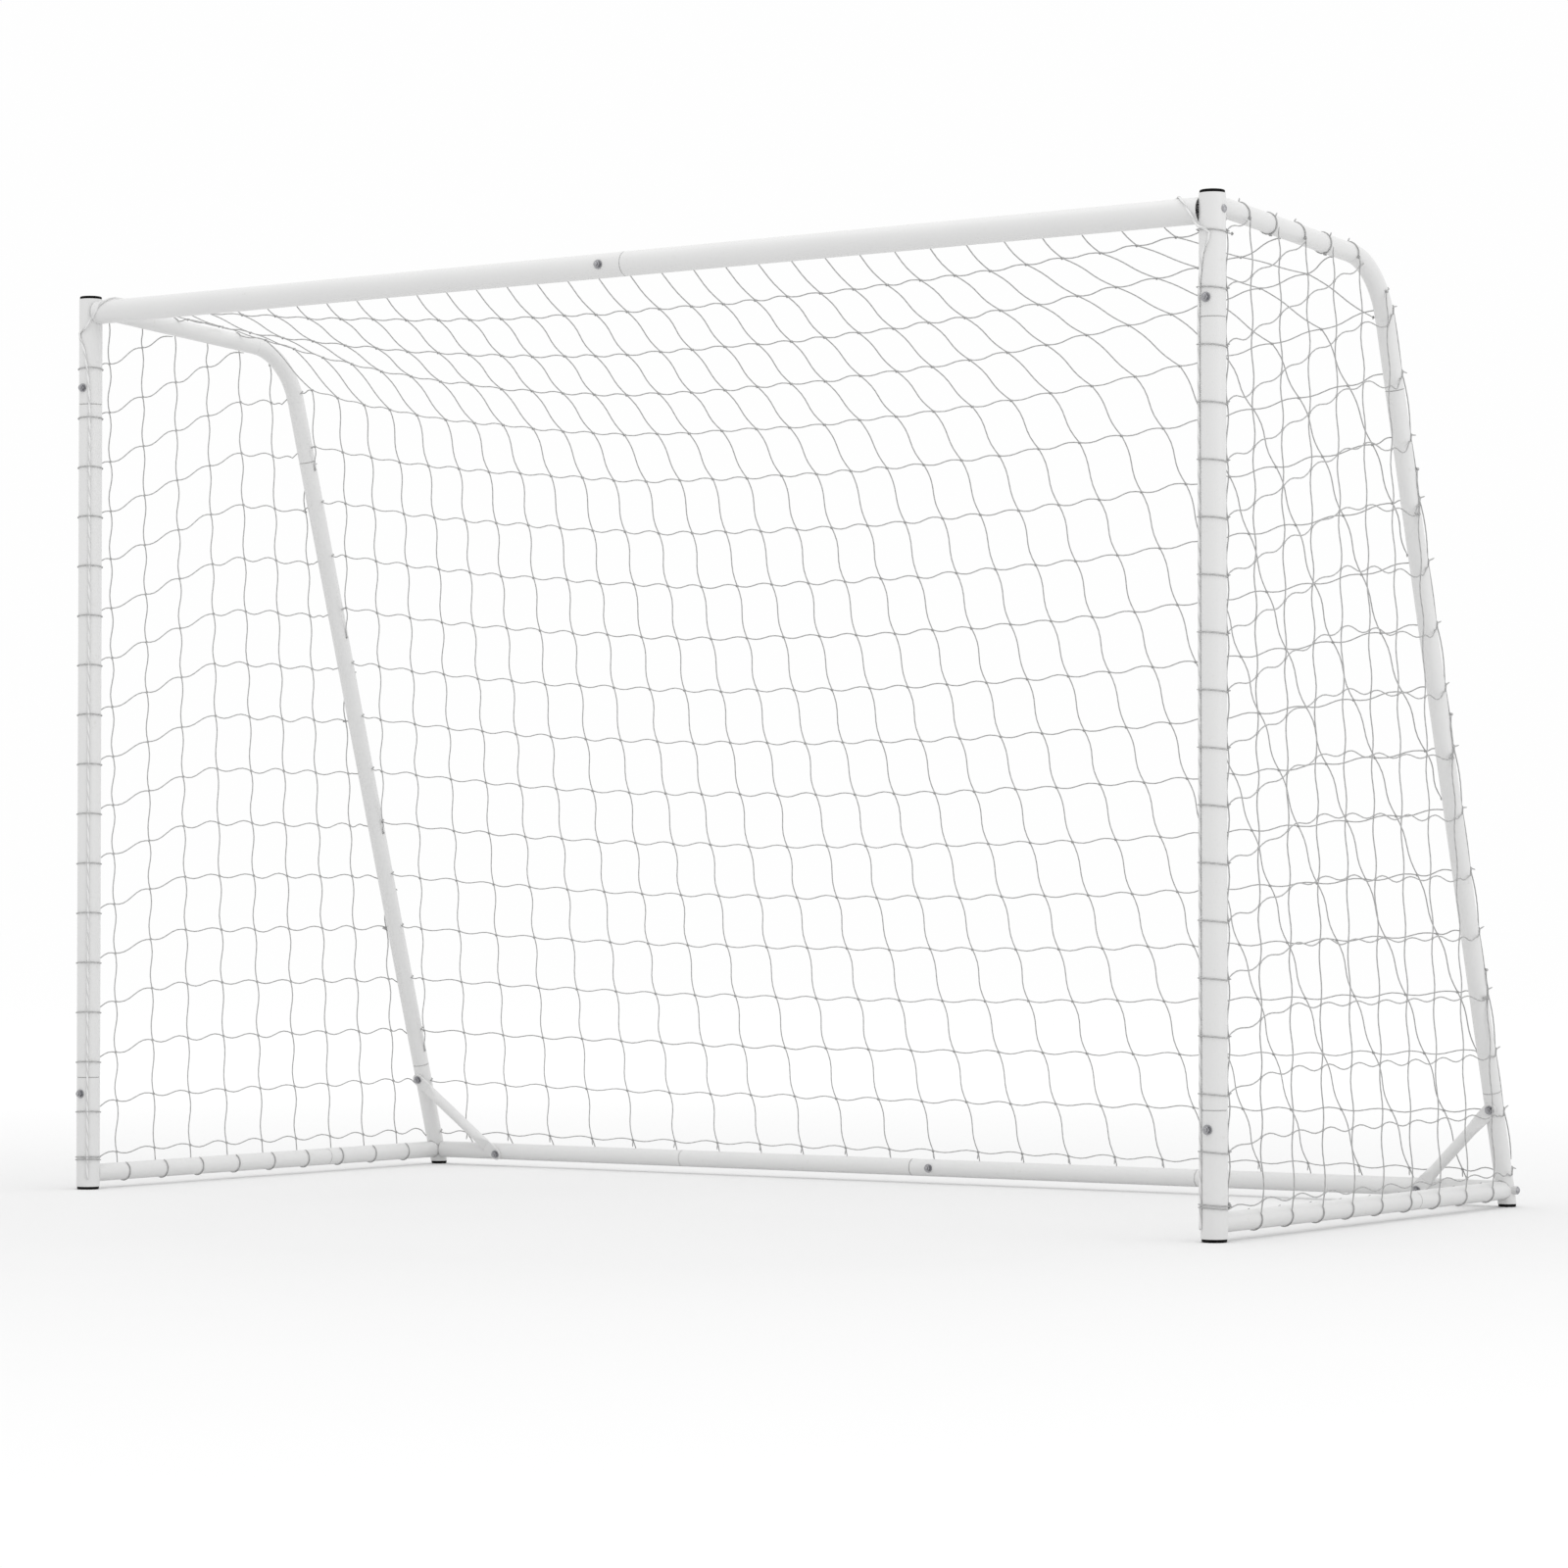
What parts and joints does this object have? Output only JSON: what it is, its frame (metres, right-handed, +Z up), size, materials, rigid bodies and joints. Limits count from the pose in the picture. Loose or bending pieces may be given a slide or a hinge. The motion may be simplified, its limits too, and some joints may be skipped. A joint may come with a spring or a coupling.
{
  "type": "soccer goal frame",
  "caption": "Free-standing goal of white steel tube: posts, crossbar, bent side tubes as sloping rear legs, ground frame, corner braces and a knotted cord net.",
  "frame": {"origin": "middle of the footprint, on the floor", "axes": "+Z up, X along the crossbar, the open mouth faces -Y and the sloping rear legs are at +Y"},
  "size_m": [3.0202, 1.3425, 2.05],
  "materials": {
    "white_powder_coat": "satin powder coat",
    "black_cap": "moulded, slightly glossy",
    "zinc": "zinc plated",
    "grey_plastic": "moulded",
    "net_cord": "twisted polyethylene twine"
  },
  "bodies": {
    "root": {"left_post_top": "white_powder_coat", "left_post_middle": "white_powder_coat", "left_post_foot": "white_powder_coat", "right_post_top": "white_powder_coat", "right_post_middle": "white_powder_coat", "right_post_foot": "white_powder_coat", "crossbar_left": "white_powder_coat", "crossbar_right": "white_powder_coat", "left_top_side_tube": "white_powder_coat", "right_top_side_tube": "white_powder_coat", "left_rear_leg_middle": "white_powder_coat", "right_rear_leg_middle": "white_powder_coat", "left_rear_leg_foot": "white_powder_coat", "right_rear_leg_foot": "white_powder_coat", "left_side_ground_tube_front": "white_powder_coat", "left_side_ground_tube_rear": "white_powder_coat", "right_side_ground_tube_front": "white_powder_coat", "right_side_ground_tube_rear": "white_powder_coat", "rear_ground_tube_left_end": "white_powder_coat", "rear_ground_tube_left_middle": "white_powder_coat", "rear_ground_tube_right_middle": "white_powder_coat", "rear_ground_tube_right_end": "white_powder_coat", "left_corner_brace": "white_powder_coat", "right_corner_brace": "white_powder_coat", "left_post_cap": "black_cap", "right_post_cap": "black_cap", "left_post_foot_cap": "black_cap", "right_post_foot_cap": "black_cap", "left_rear_foot_cap": "black_cap", "right_rear_foot_cap": "black_cap", "post_joint_bolts": "zinc", "post_joint_washers": "zinc", "post_joint_nuts": "zinc", "crossbar_joint_bolt": "zinc", "crossbar_joint_washer": "zinc", "crossbar_joint_nut": "zinc", "crossbar_end_bolts": "zinc", "crossbar_end_plugs": "grey_plastic", "rear_corner_bolts": "zinc", "rear_corner_spacers": "grey_plastic", "rear_tube_end_plugs": "grey_plastic", "brace_bolts": "zinc", "brace_washers": "zinc", "brace_nuts": "zinc", "rear_joint_bolt": "zinc", "rear_joint_washer": "zinc", "rear_joint_nut": "zinc", "left_net_panel": "net_cord", "right_net_panel": "net_cord", "back_net_panel": "net_cord", "net_border_cord": "net_cord"}
  },
  "joints": []
}
